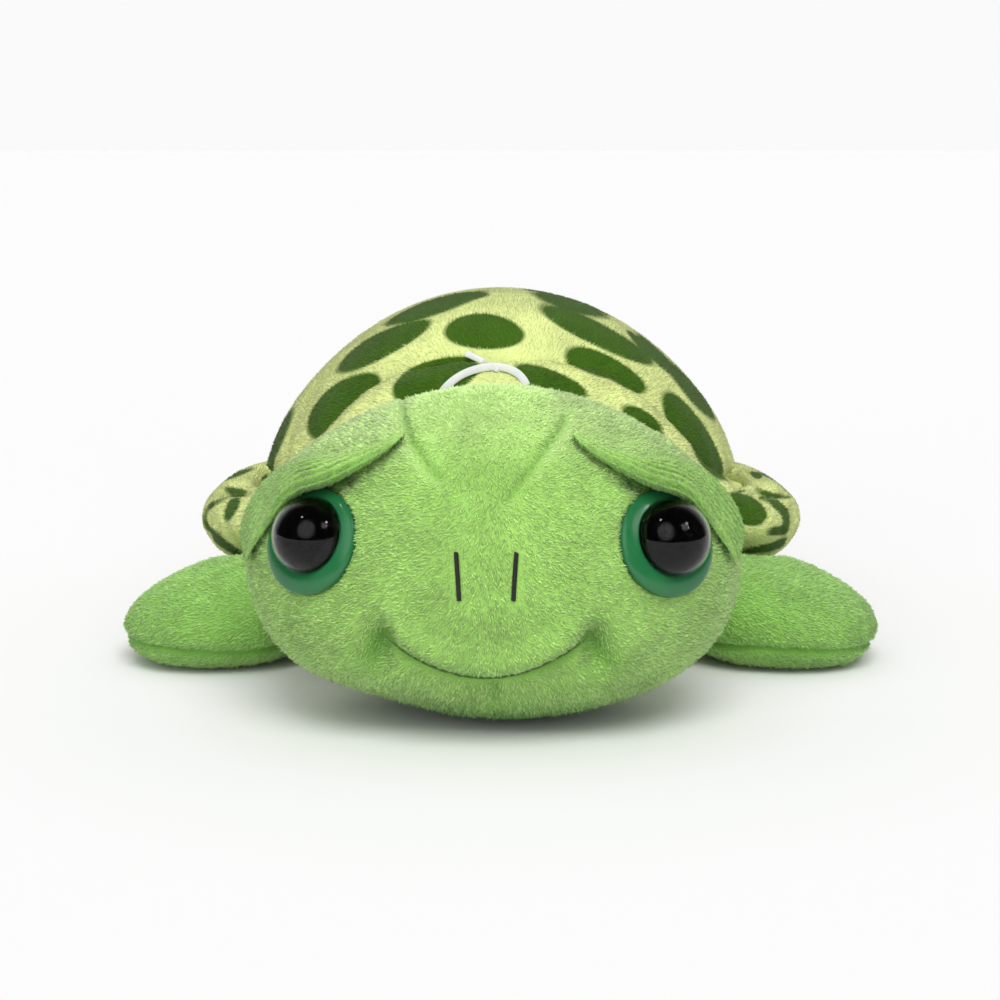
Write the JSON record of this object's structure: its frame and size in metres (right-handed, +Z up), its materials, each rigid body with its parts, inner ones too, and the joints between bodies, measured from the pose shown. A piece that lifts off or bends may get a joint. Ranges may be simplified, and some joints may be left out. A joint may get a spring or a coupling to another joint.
{
  "type": "plush turtle",
  "caption": "Stuffed turtle lying on its belly: wide smiling head with safety eyes, spotted dome shell with a padded rim, paddle limbs and a short tail that flex at their seams.",
  "frame": {"origin": "under the middle of the toy's length and width, on the surface that it lies on", "axes": "+Z up, +Y from the head towards the tail, +X towards the turtle's own left side"},
  "size_m": [0.1628, 0.2234, 0.0774],
  "materials": {
    "green_pile": "short soft pile",
    "shell_pile": "short printed pile with dark green spots",
    "filling": "loose fibre",
    "eye_green": "glossy",
    "eye_black": "glossy",
    "eye_lens": "clear and polished",
    "washer": "natural",
    "black_thread": "satin stitch",
    "green_thread": "twisted thread",
    "nylon": "clear"
  },
  "bodies": {
    "shell": {"shell_dome": "shell_pile", "belly_cover": "shell_pile", "body_filling": "filling", "shell_rim": "shell_pile", "tag_loop": "nylon"},
    "head": {"head_cover": "green_pile", "head_filling": "filling", "mouth_thread": "green_thread", "left_brow": "green_pile", "left_nostril": "black_thread", "left_eye_back": "eye_green", "left_eye_pupil": "eye_black", "left_eye_lens": "eye_lens", "left_eye_washer": "washer", "right_brow": "green_pile", "right_nostril": "black_thread", "right_eye_back": "eye_green", "right_eye_pupil": "eye_black", "right_eye_lens": "eye_lens", "right_eye_washer": "washer"},
    "front_left_limb": {"front_left_flipper": "green_pile", "front_left_flipper_filling": "filling"},
    "front_right_limb": {"front_right_flipper": "green_pile", "front_right_flipper_filling": "filling"},
    "rear_left_limb": {"rear_left_foot": "green_pile", "rear_left_foot_filling": "filling"},
    "rear_right_limb": {"rear_right_foot": "green_pile", "rear_right_foot_filling": "filling"},
    "tail_body": {"tail": "green_pile", "tail_filling": "filling"}
  },
  "joints": [
    {"name": "head_nod", "type": "hinge", "parent": "shell", "child": "head", "pos_m": [0, -0.03328, 0.036], "axis": [0.9994, -0.0349, 0], "range_deg": [-8, 12], "stiffness_Nm_per_rad": 0.3},
    {"name": "front_left_flap", "type": "hinge", "parent": "shell", "child": "front_left_limb", "pos_m": [0.04143, -0.01362, 0.0125], "axis": [-0.7006, -0.7136, 0], "range_deg": [-20, 8], "stiffness_Nm_per_rad": 0.03},
    {"name": "front_right_flap", "type": "hinge", "parent": "shell", "child": "front_right_limb", "pos_m": [-0.04143, -0.01362, 0.0125], "axis": [-0.7006, 0.7136, 0], "range_deg": [-20, 8], "stiffness_Nm_per_rad": 0.03},
    {"name": "rear_left_flap", "type": "hinge", "parent": "shell", "child": "rear_left_limb", "pos_m": [0.03594, 0.05958, 0.011], "axis": [0.6889, -0.7248, 0], "range_deg": [-20, 8], "stiffness_Nm_per_rad": 0.02},
    {"name": "rear_right_flap", "type": "hinge", "parent": "shell", "child": "rear_right_limb", "pos_m": [-0.03594, 0.05958, 0.011], "axis": [0.6889, 0.7248, 0], "range_deg": [-20, 8], "stiffness_Nm_per_rad": 0.02},
    {"name": "tail_flap", "type": "hinge", "parent": "shell", "child": "tail_body", "pos_m": [0, 0.07552, 0.011], "axis": [1, 0, 0], "range_deg": [-10, 15], "stiffness_Nm_per_rad": 0.008}
  ]
}
